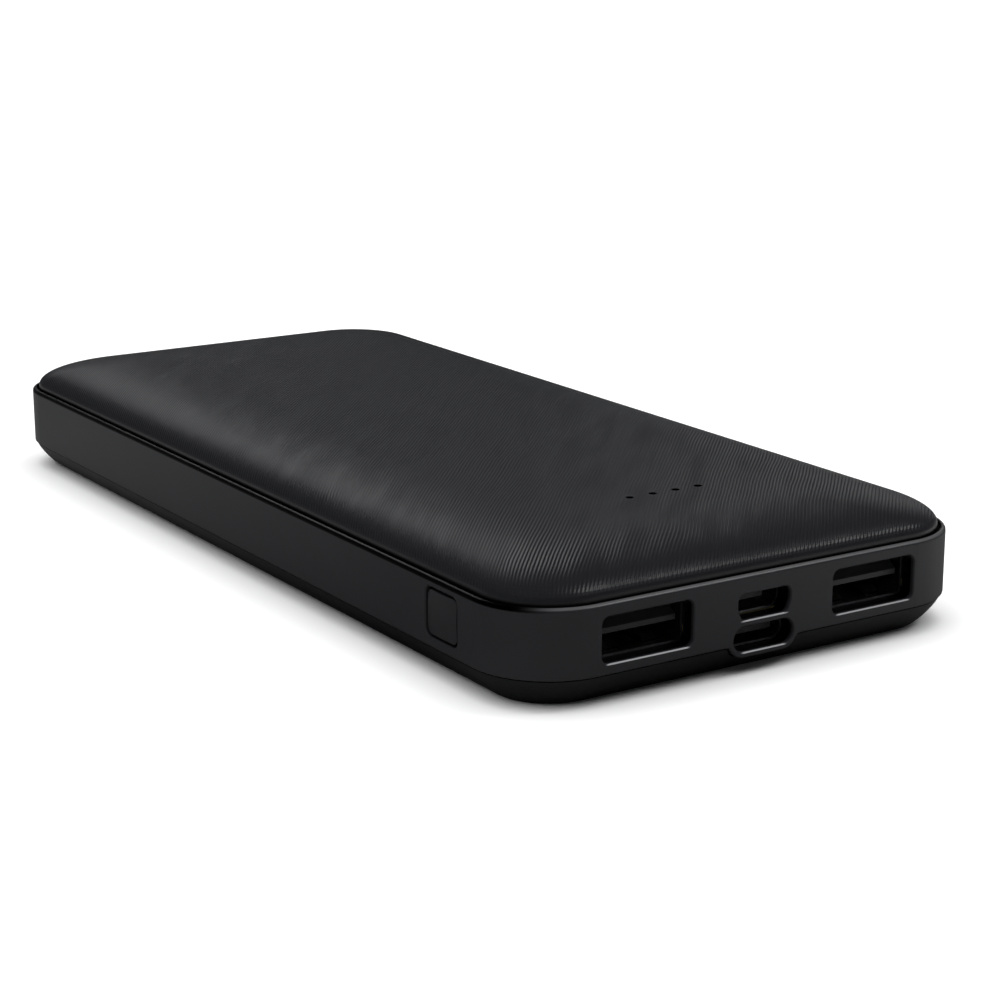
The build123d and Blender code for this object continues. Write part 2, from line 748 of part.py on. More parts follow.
parts = {
    "top_cover": make_top_cover(),
    "mid_frame": make_mid_frame(),
    "bottom_cover": make_bottom_cover(),
    "power_button": make_power_button(),
    "switch_housing": make_switch_housing(),
    "switch_plunger": make_switch_plunger(),
    "switch_plate": make_switch_plate(),
    "usb_c_shell": make_usb_c_shell(),
    "usb_c_core": make_usb_c_core(),
    "usb_c_contacts": make_usb_c_contacts(),
    "micro_usb_shell": make_micro_shell(),
    "micro_usb_contacts": make_micro_contacts(),
    "circuit_board": make_circuit_board(),
    "board_screws": make_board_screws(),
    "light_guide": make_light_guide(),
    "lower_cell": make_cell(lower_cell_z),
    "upper_cell": make_cell(upper_cell_z),
    "floor_adhesive": cell_pad(floor_thickness, lower_cell_z),
    "cell_tape": cell_pad(lower_cell_z + cell_height, upper_cell_z),
    "top_foam": cell_pad(cells_top, ceiling),
    "rear_foam": make_rear_foam(),
}
parts["micro_usb_core"] = make_micro_core(parts["micro_usb_contacts"])

for name, x in (("left", -usb_a_x), ("right", usb_a_x)):
    parts[f"usb_a_shell_{name}"] = make_usb_a_shell(x)
    parts[f"usb_a_contacts_{name}"] = make_usb_a_contacts(x)
    parts[f"usb_a_core_{name}"] = make_usb_a_core(x, parts[f"usb_a_contacts_{name}"])

for name, side in (("negative", -1), ("positive", 1)):
    parts[f"{name}_tabs"] = make_cell_tabs(side)
    parts[f"{name}_strap"] = make_strap(side)

# Surface-mounted parts: size, then (x, distance from the front) of each one
parts["indicator_leds"] = on_board([(x, light_from_front) for x in lights_x], led_size)
parts["controller_chip"] = on_board([(-8.0, 32.0)], (5.0, 5.0, 0.9))
parts["power_inductor"] = on_board([(8.5, 33.0)], (7.0, 7.0, 3.0), 0.8)
parts["power_transistors"] = on_board([(18.0, 26.5), (18.0, 32.0), (-18.0, 32.0)], (5.0, 4.0, 1.0))
parts["ceramic_capacitors"] = on_board([(x, 27.5) for x in (-23.0, -20.0, -17.0, -14.0)], (1.6, 3.2, 1.5))
parts["chip_resistors"] = on_board([(x, 27.0) for x in (-10.0, -8.0, -6.0, -4.0, 4.5, 6.5)], (0.8, 1.6, 0.5))

os.makedirs("parts", exist_ok=True)
for name, shape in parts.items():
    export_step(shape, f"parts/{name}.step")
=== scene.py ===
"""A dark pocket power bank: a domed, finely engraved cover and a smooth base, snapped on both sides
of a flat band that carries the sockets and the power key, with a board and two pouch cells inside.
"""

import math

import bpy
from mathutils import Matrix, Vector


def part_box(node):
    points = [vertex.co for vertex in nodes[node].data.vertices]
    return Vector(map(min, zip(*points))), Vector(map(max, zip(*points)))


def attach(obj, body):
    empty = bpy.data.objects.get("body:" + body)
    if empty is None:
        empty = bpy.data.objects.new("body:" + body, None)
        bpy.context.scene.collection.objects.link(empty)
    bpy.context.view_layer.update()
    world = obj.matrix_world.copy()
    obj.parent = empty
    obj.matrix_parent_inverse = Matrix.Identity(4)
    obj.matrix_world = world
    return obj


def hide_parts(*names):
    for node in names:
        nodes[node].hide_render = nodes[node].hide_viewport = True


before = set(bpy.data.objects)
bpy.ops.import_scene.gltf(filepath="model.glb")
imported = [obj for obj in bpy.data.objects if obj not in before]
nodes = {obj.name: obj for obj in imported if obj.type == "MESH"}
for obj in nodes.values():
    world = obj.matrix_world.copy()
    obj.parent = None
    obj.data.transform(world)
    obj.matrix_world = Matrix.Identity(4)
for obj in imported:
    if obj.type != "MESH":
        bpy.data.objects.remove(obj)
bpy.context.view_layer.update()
scene = bpy.context.scene


# ---------------------------------------------------------------- camera, floor and lights
# The bank stands on a plain white table, seen from in front of its left corner and a little above.
# Wide daylight from overhead, panels behind it and on its right, low fill from both sides, a dim room.
# The table is matt; in the bank's reflections only, its colour is painted, a painted reflection dimmest
# round the near corner and far out.

scene.view_settings.view_transform = "Standard"

lens = bpy.data.cameras.new("camera")
lens.sensor_width, lens.lens = 36.0, 84.55
lens.clip_start, lens.clip_end = 0.01, 20.0
camera = bpy.data.objects.new("camera", lens)
camera.location = (-0.1729, -0.2848, 0.0939)
camera.rotation_euler = Vector((0.52423, 0.81108, -0.25952)).to_track_quat("-Z", "Y").to_euler()
scene.collection.objects.link(camera)
scene.camera = camera


class Wire:
    """A socket of a node tree. Arithmetic on wires adds the Math nodes that work it out."""

    def __init__(self, tree, socket=None):
        self.tree, self.socket = tree, socket

    def node(self, kind, settings=(), inputs=(), output=0):
        """Adds a node, its settings first and then its sockets' values or links."""
        made = self.tree.nodes.new(kind)
        for name, value in dict(settings).items():
            setattr(made, name, value)
        for name, value in dict(inputs).items():
            for part in value if isinstance(value, list) else [value]:
                if isinstance(part, Wire):
                    self.tree.links.new(part.socket, made.inputs[name])
                else:
                    made.inputs[name].default_value = part
        return Wire(self.tree, made.outputs[output] if made.outputs else None)

    def maths(self, operation, *values):
        return self.node("ShaderNodeMath", {"operation": operation}, dict(enumerate(values)))

    def sine(self):
        return self.maths("SINE", self)

    def cosine(self):
        return self.maths("COSINE", self)

    def absolute(self):
        return self.maths("ABSOLUTE", self)

    def at_least(self, low):
        return self.maths("MAXIMUM", self, low)

    def above(self, level):
        """1 where it is more than the level, and 0 elsewhere."""
        return self.maths("GREATER_THAN", self, level)

    def __add__(self, other):
        return self.maths("ADD", self, other)

    def __sub__(self, other):
        return self.maths("SUBTRACT", self, other)

    def __rsub__(self, other):
        return self.maths("SUBTRACT", other, self)

    def __mul__(self, other):
        return self.maths("MULTIPLY", self, other)

    def __truediv__(self, other):
        return self.maths("DIVIDE", self, other)

    def __rtruediv__(self, other):
        return self.maths("DIVIDE", other, self)

    def __pow__(self, other):
        return self.maths("POWER", self, other)

    __radd__, __rmul__ = __add__, __mul__

    def between(self, low, high):
        """0 below low, 1 above high and a smooth step between them."""
        values = {"Value": self, "From Min": low, "From Max": high}
        return self.node("ShaderNodeMapRange", {"interpolation_type": "SMOOTHSTEP"}, values)

    def noise(self, vector, detail=2.0, roughness=0.5):
        """Noise from 0 to 1 over a vector whose unit is about one blotch."""
        values = {"Vector": vector, "Scale": 1.0, "Detail": detail, "Roughness": roughness}
        return self.node("ShaderNodeTexNoise", {}, values)

    def vector(self, x, y, z):
        return self.node("ShaderNodeCombineXYZ", {}, {"X": x, "Y": y, "Z": z})

    def mixed(self, first, second, share):
        """A colour from first, at share 0, to second, at share 1."""
        return self.node("ShaderNodeMix", {"data_type": "RGBA"}, {0: share, 6: first, 7: second}, 2)


def start_finish(name):
    """A new material; returns it, a wire in its tree and the object's x, y and z in millimetres."""
    material = bpy.data.materials.new(name)
    material.use_nodes = True
    material.node_tree.nodes.clear()
    wire = Wire(material.node_tree)
    place = wire.node("ShaderNodeTexCoord", output="Object")
    axes = [wire.node("ShaderNodeSeparateXYZ", {}, {"Vector": place}, axis) * 1000.0 for axis in "XYZ"]
    return material, wire, axes


def end_finish(material, wire, values, height=None):
    """Gives a material its shader, with a bump whose height is in millimetres."""
    if height is not None:
        bump = {"Strength": 1.0, "Distance": 0.001, "Height": height}
        values = {**values, "Normal": wire.node("ShaderNodeBump", {}, bump)}
    shader = wire.node("ShaderNodeBsdfPrincipled", {}, values)
    wire.node("ShaderNodeOutputMaterial", {}, {"Surface": shader})
    return material


table_top, wire, (x, y, z) = start_finish("table_top")
mottle = wire.noise(wire.vector(x / 60.0, y / 60.0, 0.0), 3.0)
paper = wire.mixed((0.90, 0.90, 0.90, 1.0), (0.93, 0.93, 0.93, 1.0), mottle)
# Painted reflection: for mirrored rays only, the table's colour is painted by place: dimmer round the
# bank's front corner, brighter further off and in a strip in front, dark far out.
from_corner = ((x + 45.0) ** 2.0 + (y + 95.0) ** 2.0) ** 0.5
near_corner = 0.12 * (1.0 - from_corner.between(20.0, 50.0))
painted_reflection = 0.05 + near_corner + 0.30 * from_corner.between(45.0, 190.0)
painted_reflection = painted_reflection + 0.34 * x.between(-20.0, 44.0) * (1.0 - y.between(-90.0, -60.0))
painted_reflection = painted_reflection * (1.0 - 0.95 * from_corner.between(200.0, 420.0))
mirrored = wire.node("ShaderNodeLightPath", output="Is Glossy Ray")
paper = wire.mixed(paper, wire.mixed((0.0, 0.0, 0.0, 1.0), (1.0, 1.0, 1.0, 1.0), painted_reflection), mirrored)
end_finish(table_top, wire, {"Base Color": paper, "Roughness": 0.9, "Specular IOR Level": 0.0})

reach = 6.0
corners = [(-reach, -reach, 0.0), (reach, -reach, 0.0), (reach, reach, 0.0), (-reach, reach, 0.0)]
sheet = bpy.data.meshes.new("floor")
sheet.from_pydata(corners, [], [(0, 1, 2, 3)])
sheet.materials.append(table_top)
floor = bpy.data.objects.new("floor", sheet)
scene.collection.objects.link(floor)

room = bpy.data.worlds.new("room")
room.use_nodes = True
room.node_tree.nodes["Background"].inputs["Color"].default_value = (0.93, 0.96, 1.0, 1.0)
room.node_tree.nodes["Background"].inputs["Strength"].default_value = 0.07
scene.world = room


def hang_light(name, kind, place, **settings):
    """A light that points at the middle of the bank's base."""
    lamp = bpy.data.lights.new(name, kind)
    for setting, value in settings.items():
        setattr(lamp, setting, value)
    holder = bpy.data.objects.new(name, lamp)
    holder.location = place
    holder.rotation_euler = (-Vector(place)).to_track_quat("-Z", "Y").to_euler()
    scene.collection.objects.link(holder)
    return holder


wide = {"shape": "RECTANGLE", "size": 0.5, "size_y": 0.2}
daylight = hang_light("daylight", "SUN", (-0.1, 0.05, 1.0), energy=3.7, angle=math.radians(86))
left_fill = hang_light("left_fill", "AREA", (-1.2, 0.1, 0.4), energy=3.0, size=0.8)
right_fill = hang_light("right_fill", "AREA", (1.2, 0.1, 0.4), energy=4.0, size=0.8)
hang_light("back_panel", "AREA", (0.36, 1.16, 0.74), energy=0.95, **wide)
hang_light("rear_panel", "AREA", (1.06, 0.72, 0.34), energy=0.24, **wide)
hang_light("side_panel", "AREA", (0.60, -0.45, 0.86), energy=1.7, size=0.22)
for soft in (daylight, left_fill, right_fill):
    soft.visible_glossy = False


# ---------------------------------------------------------------- top cover
# Injection-moulded black ABS, 1.5 mm thick, rolling down from a flat top to an upright rim that sits
# in the band. Fine wavy lines are engraved in the mould, and stop at the rim. Four pinholes show light.

cover_sizes = {
    "Half Width": 0.035,
    "Half Length": 0.076,
    "Corner Radius": 0.0105,
    "Inset": 0.00105,
    "Wall": 0.0015,
    "Seat Height": 0.0118,
    "Rim Height": 0.0129,
    "Top Height": 0.0172,
    "Roll": 0.0146,
    "Fullness": 0.9,
    "Top Radius": 0.007,
    "Hole Radius": 0.00055,
    "Hole Pitch": 0.0036,
    "First Hole X": -0.0035,
    "Hole Y": -0.0529,
}


def start_tree(name, sizes):
    """A new Geometry Nodes tree, an input for the places to set copies on and one for each size."""
    tree = bpy.data.node_groups.new(name, "GeometryNodeTree")
    tree.interface.new_socket(name="Places", in_out="INPUT", socket_type="NodeSocketGeometry")
    for label, value in sizes.items():
        kind = "NodeSocketInt" if isinstance(value, int) else "NodeSocketFloat"
        tree.interface.new_socket(name=label, in_out="INPUT", socket_type=kind)
    tree.interface.new_socket(name="Mesh", in_out="OUTPUT", socket_type="NodeSocketGeometry")
    entry = tree.nodes.new("NodeGroupInput")
    return tree, Wire(tree), {label: Wire(tree, entry.outputs[label]) for label in ("Places", *sizes)}


def end_tree(tree, mesh, material, sharp=35.0):
    """Shades the mesh smooth but for its sharp edges, gives it its material and closes the tree."""
    mesh = mesh.node("GeometryNodeRealizeInstances", {}, {0: mesh})
    mesh = mesh.node("GeometryNodeSetShadeSmooth", {}, {0: mesh, "Shade Smooth": True})
    turn = mesh.node("GeometryNodeInputMeshEdgeAngle")
    values = {0: turn, 1: math.radians(sharp)}
    folded = mesh.node("FunctionNodeCompare", {"operation": "GREATER_THAN"}, values)
    values = {0: mesh, "Selection": folded, "Shade Smooth": False}
    mesh = mesh.node("GeometryNodeSetShadeSmooth", {"domain": "EDGE"}, values)
    mesh = mesh.node("GeometryNodeSetMaterial", {}, {0: mesh, "Material": material})
    mesh.node("NodeGroupOutput", {}, {"Mesh": mesh})


def grown(name, tree, sizes, body, slot, *stands_for, points=()):
    """The plain mesh that a tree makes, riding on a body in place of the CAD nodes it stands for."""
    seeds = bpy.data.meshes.new(name + "_places")
    seeds.from_pydata(list(points), [], [])
    piece = bpy.data.objects.new(name, seeds)
    scene.collection.objects.link(piece)
    modifier = piece.modifiers.new("tree", "NODES")
    modifier.node_group = tree
    for socket in tree.interface.items_tree:
        if socket.in_out == "INPUT" and socket.name in sizes:
            modifier[socket.identifier] = sizes[socket.name]
    bpy.context.view_layer.update()
    evaluated = piece.evaluated_get(bpy.context.evaluated_depsgraph_get())
    mesh = bpy.data.meshes.new_from_object(evaluated)
    piece.modifiers.remove(modifier)
    piece.data = mesh
    mesh.name = name
    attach(piece, body)
    if stands_for:
        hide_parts(*stands_for)
    return piece


def axes_of_points(wire):
    """The x, y and z of each point of the mesh that a tree is shaping."""
    place = wire.node("GeometryNodeInputPosition")
    return [wire.node("ShaderNodeSeparateXYZ", {}, {"Vector": place}, axis) for axis in "XYZ"]


def reshaped(wire, mesh, place):
    """The mesh with each of its points moved to a place."""
    return wire.node("GeometryNodeSetPosition", {}, {"Geometry": mesh, "Position": place})


def row_of(wire, piece, count, start, step, **turned):
    """Copies of a piece in a straight row, one step apart."""
    line = {"Count": count, "Start Location": start, "Offset": step}
    line = wire.node("GeometryNodeMeshLine", {}, line)
    copies = {"Points": line, "Instance": piece, **turned}
    return wire.node("GeometryNodeInstanceOnPoints", {}, copies)


engraved, wire, (x, y, z) = start_finish("engraved_cover")
lean = math.radians(47.5)
line_pitch, hatch_pitch = 0.43, 0.34
lines_start, lines_full = 13.1, 14.6
along = math.cos(lean) * x + math.sin(lean) * y
across = math.cos(lean) * y - math.sin(lean) * x
broad = wire.noise(wire.vector(across / 22.0, along / 34.0, 1.7), 1.0)
middling = wire.noise(wire.vector(across / 5.0, along / 11.0, 4.1), 1.0)
fine = wire.noise(wire.vector(across / 1.3, along / 5.0, 9.3), 0.0)
wander = across + 1.8 * broad + 0.36 * middling + 0.10 * fine
ripple = (wander * (2 * math.pi / line_pitch)).sine()
patch = wire.noise(wire.vector(across / 3.0, along / 13.0, 6.0), 1.0).between(0.25, 0.6) * 0.4 + 0.6
cross = (z * (2 * math.pi / hatch_pitch)).sine()
foot = z.between(lines_start, lines_full)
hatch = z.between(lines_start, 13.6) * (1.0 - z.between(14.2, 15.2))
grain = wire.noise(wire.vector(x / 0.11, y / 0.11, z / 0.11), 2.0)
height = 0.022 * foot * patch * ripple + 0.003 * hatch * cross + 0.004 * grain

# near black for painted shade, here and on the band
painted_shade_black = (0.001, 0.001, 0.001, 1.0)
tone = wire.noise(wire.vector(x / 14.0, y / 14.0, z / 14.0), 3.0)
shade = wire.mixed((0.0062, 0.0063, 0.0076, 1.0), (0.0080, 0.0081, 0.0096, 1.0), tone)
# Painted shade: below the foot of the lines the cover is painted near black, where the gap round its rim
# lies in shade.
shade = wire.mixed(painted_shade_black, shade, z.between(12.7, lines_start))
hole_count = 4
first_hole, hole_pitch = cover_sizes["First Hole X"], cover_sizes["Hole Pitch"]
hole_xs = [(first_hole + hole * hole_pitch) * 1000.0 for hole in range(hole_count)]
hole_y = cover_sizes["Hole Y"] * 1000.0
# Painted highlight: a lighter ring round the far side of each pinhole's edge.
far_side = y.between(hole_y + 0.3, hole_y + 0.6)
# Painted shade: the pinholes' walls are painted near black and made metallic, so that they mirror
# nothing either.
painted_hole_shade = 0.0
for hole_x in hole_xs:
    from_hole = ((x - hole_x) ** 2.0 + (y - hole_y) ** 2.0) ** 0.5
    painted_hole_shade = (1.0 - from_hole.between(0.56, 0.66)) + painted_hole_shade
    painted_hole_highlight = from_hole.between(0.60, 0.68) * (1.0 - from_hole.between(0.80, 0.95))
    shade = wire.mixed(shade, (0.020, 0.020, 0.022, 1.0), painted_hole_highlight * far_side)
shade = wire.mixed(shade, (0.0002, 0.0002, 0.0002, 1.0), painted_hole_shade)
values = {
    "Base Color": shade,
    "Roughness": 0.32 + 0.06 * grain,
    "Metallic": painted_hole_shade,
    "Specular IOR Level": 0.4,
}
end_finish(engraved, wire, values, height)

tree, wire, size = start_tree("cover_shell", cover_sizes)
rim_rows, roll_rows, flat_rows, side_steps = 4, 32, 12, 24
shell_rows = 1 + rim_rows + roll_rows + flat_rows


def cover_skin(inset, wall, roll, top_height, corner_radius, top_radius):
    """One skin of the cover: a sheet once round the outline and from the seat up to the middle."""
    grid = {
        "Size X": 8.0,
        "Size Y": shell_rows / roll_rows,
        "Vertices X": 8 * side_steps + 1,
        "Vertices Y": shell_rows + 1,
    }
    sheet = wire.node("GeometryNodeMeshGrid", {}, grid)
    x, y, _ = axes_of_points(wire)
    turn = x + 4.0
    rise = y + (shell_rows / 2 - 1) / roll_rows

    def part_of(value, start, length=1.0):
        """How far the value is through a stretch, from 0 to 1."""
        return wire.node("ShaderNodeClamp", {}, {"Value": (value - start) / length})

    quarter = math.pi / 2
    bend = quarter * (part_of(turn, 1) + part_of(turn, 3) + part_of(turn, 5) + part_of(turn, 7))
    side_x = 1.0 - 2.0 * part_of(turn, 2) + 2.0 * part_of(turn, 6)
    side_y = 2.0 * part_of(turn, 0) - 2.0 * part_of(turn, 4) - 1.0

    land = 1.0 - part_of(rise, -1 / roll_rows, 1 / roll_rows)
    upright = part_of(rise, 0.0, rim_rows / roll_rows)
    lift = quarter * part_of(rise, rim_rows / roll_rows)
    inwards = part_of(rise, 1.0 + rim_rows / roll_rows, flat_rows / roll_rows)
    drawn_in = 1.0 - lift.cosine()
    rolled = roll * drawn_in
    to_middle = inwards * (size["Half Width"] - inset - roll)
    step_in = inset + rolled + to_middle + land * wall
    radius = corner_radius + (top_radius - corner_radius) * drawn_in
    radius = radius * (1.0 - inwards) - land * wall
    fullness = lift.sine() ** size["Fullness"]
    seat_to_rim = size["Rim Height"] - size["Seat Height"]
    height = size["Seat Height"] + seat_to_rim * upright + (top_height - size["Rim Height"]) * fullness
    reach_x = (size["Half Width"] - step_in - radius) * side_x
    reach_y = (size["Half Length"] - step_in - radius) * side_y
    curved_x = reach_x + radius * bend.cosine()
    curved_y = reach_y + radius * bend.sine()
    return reshaped(wire, sheet, wire.vector(curved_x, curved_y, height))


inset, wall = size["Inset"], size["Wall"]
rim_radius = size["Corner Radius"] - inset
outer = cover_skin(inset, wall, size["Roll"], size["Top Height"], rim_radius, size["Top Radius"])
inner_roll, inner_top = size["Roll"] - wall, size["Top Height"] - wall
inner_radius = size["Top Radius"] - wall
inner = cover_skin(inset + wall, 0.0, inner_roll, inner_top, rim_radius - wall, inner_radius)
inner = wire.node("GeometryNodeFlipFaces", {}, {"Mesh": inner})
shell = wire.node("GeometryNodeJoinGeometry", {}, {"Geometry": [outer, inner]})
shell = wire.node("GeometryNodeMergeByDistance", {}, {"Geometry": shell, "Distance": 1e-6})
first = wire.vector(size["First Hole X"], size["Hole Y"], size["Top Height"] - wall / 2.0)
drill = {"Vertices": 24, "Radius": size["Hole Radius"], "Depth": wall * 2.0}
drill = wire.node("GeometryNodeMeshCylinder", {}, drill)
step = wire.vector(size["Hole Pitch"], 0.0, 0.0)
drills = row_of(wire, drill, hole_count, first, step)
drills = wire.node("GeometryNodeRealizeInstances", {}, {0: drills})
holes = {"operation": "DIFFERENCE", "solver": "EXACT"}
shell = wire.node("GeometryNodeMeshBoolean", holes, {"Mesh 1": shell, "Mesh 2": drills})
end_tree(tree, shell, engraved)
grown("cover_shell", tree, cover_sizes, "case", "cover_plastic", "top_cover")


# ---------------------------------------------------------------- band, base and power key
# Black ABS mouldings. The band has a fine spark-eroded grain. Its colour holds painted light: a painted
# highlight on the lip in front and on the lower edges of its openings, and painted shade, near black,
# on the lip along the sides and round the corners and on all of it behind its outer skin. The base is
# satin and a little darker, and the key is moulded from the same resin as the band.

def moulded(name, dark, light, rough, grain_size, grain_height):
    """A moulded plastic: slightly uneven colour and a fine grain."""
    material, wire, (x, y, z) = start_finish(name)
    tone = wire.noise(wire.vector(x / 18.0, y / 18.0, z / 6.0), 3.0)
    grain = wire.noise(wire.vector(x / grain_size, y / grain_size, z / grain_size), 3.0)
    shade = wire.mixed((*dark, 1.0), (*light, 1.0), tone)
    values = {"Base Color": shade, "Roughness": rough + 0.08 * grain, "Specular IOR Level": 0.35}
    return end_finish(material, wire, values, grain_height * grain)


def dress(material, *names):
    """Gives CAD nodes their finish."""
    for name in names:
        nodes[name].data.materials.clear()
        nodes[name].data.materials.append(material)


band_plastic, wire, (x, y, z) = start_finish("band_plastic")
tone = wire.noise(wire.vector(x / 18.0, y / 18.0, z / 6.0), 3.0)
grain = wire.noise(wire.vector(x / 0.09, y / 0.09, z / 0.09), 3.0)
shade = wire.mixed((0.0105, 0.0106, 0.0122, 1.0), (0.0135, 0.0136, 0.0155, 1.0), tone)
corner_radius, half_width, half_length = 10.5, 35.0, 76.0
past_x = (x.absolute() - (half_width - corner_radius)).at_least(0.0)
past_y = (y.absolute() - (half_length - corner_radius)).at_least(0.0)
depth = corner_radius - (past_x ** 2.0 + past_y ** 2.0) ** 0.5
# Painted shade: all of the band more than about half a millimetre behind its outer skin, in the gaps and
# openings, is painted near black.
painted_recess_shade = depth.between(0.52, 0.75)
front = 1.0 - y.between(-75.2, -70.5)
lip = z.between(12.40, 12.52) * (1.0 - depth.between(0.45, 0.55))
# Painted shade: from just under the lip upwards the band is painted near black all round, except in
# front.
painted_lip_shade = z.between(12.10, 12.25) * (1.0 - front)

# painted highlight along the lower edge of each kind of opening in front: its middle, half its length
# and its height
lower_edges = ((17.3, 5.6, 5.29), (0.0, 3.2, 7.04), (0.0, 3.0, 3.05))
painted_edge_highlight = 0.0
for edge_x, half_edge, edge_z in lower_edges:
    off_x = (x.absolute() - edge_x).absolute()
    level = z.between(edge_z - 0.18, edge_z - 0.13) * (1.0 - z.between(edge_z - 0.03, edge_z + 0.02))
    edge = level * (1.0 - off_x.between(half_edge, half_edge + 0.6))
    painted_edge_highlight = edge * (1.0 - depth.between(0.18, 0.22)) + painted_edge_highlight
painted_edge_highlight = painted_edge_highlight * (1.0 - y.between(-75.5, -75.0))
shade = wire.mixed(shade, painted_shade_black, painted_recess_shade)
# Painted highlight: the top of the lip is painted lighter in front.
shade = wire.mixed(shade, (0.06, 0.06, 0.062, 1.0), lip * front)
shade = wire.mixed(shade, painted_shade_black, painted_lip_shade)
shade = wire.mixed(shade, (0.26, 0.26, 0.27, 1.0), painted_edge_highlight)
roughness = 0.46 + 0.08 * grain - 0.20 * lip - 0.15 * painted_edge_highlight
# The painted shade is made metallic as well, so that its near-black colour mirrors nothing.
black = painted_lip_shade + painted_recess_shade
black = black.maths("MINIMUM", black, 1.0)
values = {"Base Color": shade, "Roughness": roughness, "Metallic": black, "Specular IOR Level": 0.35}
end_finish(band_plastic, wire, values, 0.003 * grain)

base_tones = (0.0035, 0.0035, 0.004), (0.0055, 0.0055, 0.006)
base_plastic = moulded("base_plastic", *base_tones, 0.5, 0.14, 0.002)
key_plastic = moulded("key_plastic", (0.010, 0.010, 0.0115), (0.013, 0.013, 0.0145), 0.42, 0.08, 0.002)
dress(band_plastic, "mid_frame")
dress(base_plastic, "bottom_cover")
dress(key_plastic, "power_button")


# ---------------------------------------------------------------- cover's skirt and hooks
# Moulded in one with the cover: a wall hanging from its underside along both sides and the rear,
# with three hooks on each side that snap into pockets in the band.

clip_sizes = {
    "Half Width": 0.035,
    "Skirt Inset": 0.00235,
    "Skirt Wall": 0.00105,
    "Skirt Top": 0.0123,
    "Skirt Foot": 0.0098,
    "Front End": -0.0255,
    "Rear End": 0.0655,
    "Rear Face": 0.07365,
    "Hook Bite": 0.00045,
    "Hook Length": 0.006,
    "Hook Height": 0.001,
    "Hook Z": 0.0105,
    "Hook Pitch": 0.0303333,
}
tree, wire, size = start_tree("cover_clips", clip_sizes)


def block(wire, width, length, height, x=0.0, y=0.0, z=0.0):
    """A block centred on x, y, z."""
    made = wire.node("GeometryNodeMeshCube", {}, {"Size": wire.vector(width, length, height)})
    moved = {"Geometry": made, "Translation": wire.vector(x, y, z)}
    return wire.node("GeometryNodeTransform", {}, moved)


def joined(wire, *meshes):
    return wire.node("GeometryNodeJoinGeometry", {}, {"Geometry": list(meshes)})


skirt_x = size["Half Width"] - size["Skirt Inset"] - size["Skirt Wall"] / 2.0
skirt_length = size["Rear End"] - size["Front End"]
skirt_y = (size["Rear End"] + size["Front End"]) / 2.0
skirt_height = size["Skirt Top"] - size["Skirt Foot"]
skirt_z = (size["Skirt Top"] + size["Skirt Foot"]) / 2.0
right = block(wire, size["Skirt Wall"], skirt_length, skirt_height, skirt_x, skirt_y, skirt_z)
left = block(wire, size["Skirt Wall"], skirt_length, skirt_height, 0.0 - skirt_x, skirt_y, skirt_z)
rear_y = size["Rear Face"] - size["Skirt Wall"] / 2.0
rear_width = 2.0 * (size["Half Width"] - cover_sizes["Corner Radius"])
rear = block(wire, rear_width, size["Skirt Wall"], skirt_height, 0.0, rear_y, skirt_z)
skirt = joined(wire, right, left, rear)
x, y, z = axes_of_points(wire)
foot = z.maths("LESS_THAN", z, skirt_z)
draft = 1.0 - 0.006 * foot
skirt = reshaped(wire, skirt, wire.vector(x * draft, y, z))

hook_root = 0.0004
wedge = block(wire, size["Hook Bite"] + hook_root, size["Hook Length"], size["Hook Height"])
outside = x.above(0.0)
slope = 1.0 - 0.55 * outside * z.maths("LESS_THAN", z, 0.0)
tip = 1.0 - 0.12 * outside
wedge = reshaped(wire, wedge, wire.vector(x, y * tip, z * slope))
hook_x = size["Half Width"] - size["Skirt Inset"] + (size["Hook Bite"] - hook_root) / 2.0
first_y = size["Front End"] + size["Hook Pitch"] / 2.0
step = wire.vector(0.0, size["Hook Pitch"], 0.0)
hooks = []
for side, turn in ((1.0, 0.0), (-1.0, math.pi)):
    start = wire.vector(hook_x * side, first_y, size["Hook Z"])
    hooks.append(row_of(wire, wedge, 3, start, step, Rotation=(0.0, 0.0, turn)))
end_tree(tree, joined(wire, skirt, *hooks), engraved)
grown("cover_clips", tree, clip_sizes, "case", "cover_plastic")


# ---------------------------------------------------------------- sockets
# Each socket is a nickel-plated steel shell folded from strip, round a black glass-filled tongue with
# gold-flashed contacts. The shells and tongues keep the frame's shapes.

moulding_tones = (0.012, 0.012, 0.012), (0.020, 0.020, 0.020)
black_moulding = moulded("black_moulding", *moulding_tones, 0.38, 0.2, 0.003)
dress(black_moulding, "usb_a_core_left", "usb_a_core_right", "micro_usb_core", "usb_c_core")


def metal(name, dark, light, rough, line_size, line_height):
    """A rolled metal strip: faint lines along its length and cloudy plating."""
    material, wire, (x, y, z) = start_finish(name)
    lines = wire.noise(wire.vector(x / line_size, y / (line_size * 14.0), z / line_size), 3.0)
    cloud = wire.noise(wire.vector(x / 3.0, y / 3.0, z / 3.0), 2.0)
    shade = wire.mixed((*dark, 1.0), (*light, 1.0), cloud)
    values = {"Base Color": shade, "Roughness": rough + 0.12 * lines, "Metallic": 1.0}
    return end_finish(material, wire, values, line_height * lines)


plated_steel = metal("plated_steel", (0.42, 0.42, 0.43), (0.55, 0.55, 0.56), 0.24, 0.08, 0.002)
dress(plated_steel, "usb_a_shell_left", "usb_a_shell_right", "micro_usb_shell", "usb_c_shell")
gold_flash = metal("gold_flash", (0.75, 0.56, 0.24), (0.85, 0.66, 0.32), 0.18, 0.05, 0.001)
dress(gold_flash, "usb_a_contacts_left", "usb_a_contacts_right")
dress(gold_flash, "micro_usb_contacts", "usb_c_contacts")


# ---------------------------------------------------------------- key switch
# A side-push switch soldered on the board, beside the key. A plunger of white acetal slides in a black
# moulded body, under a bent plate of plated steel.

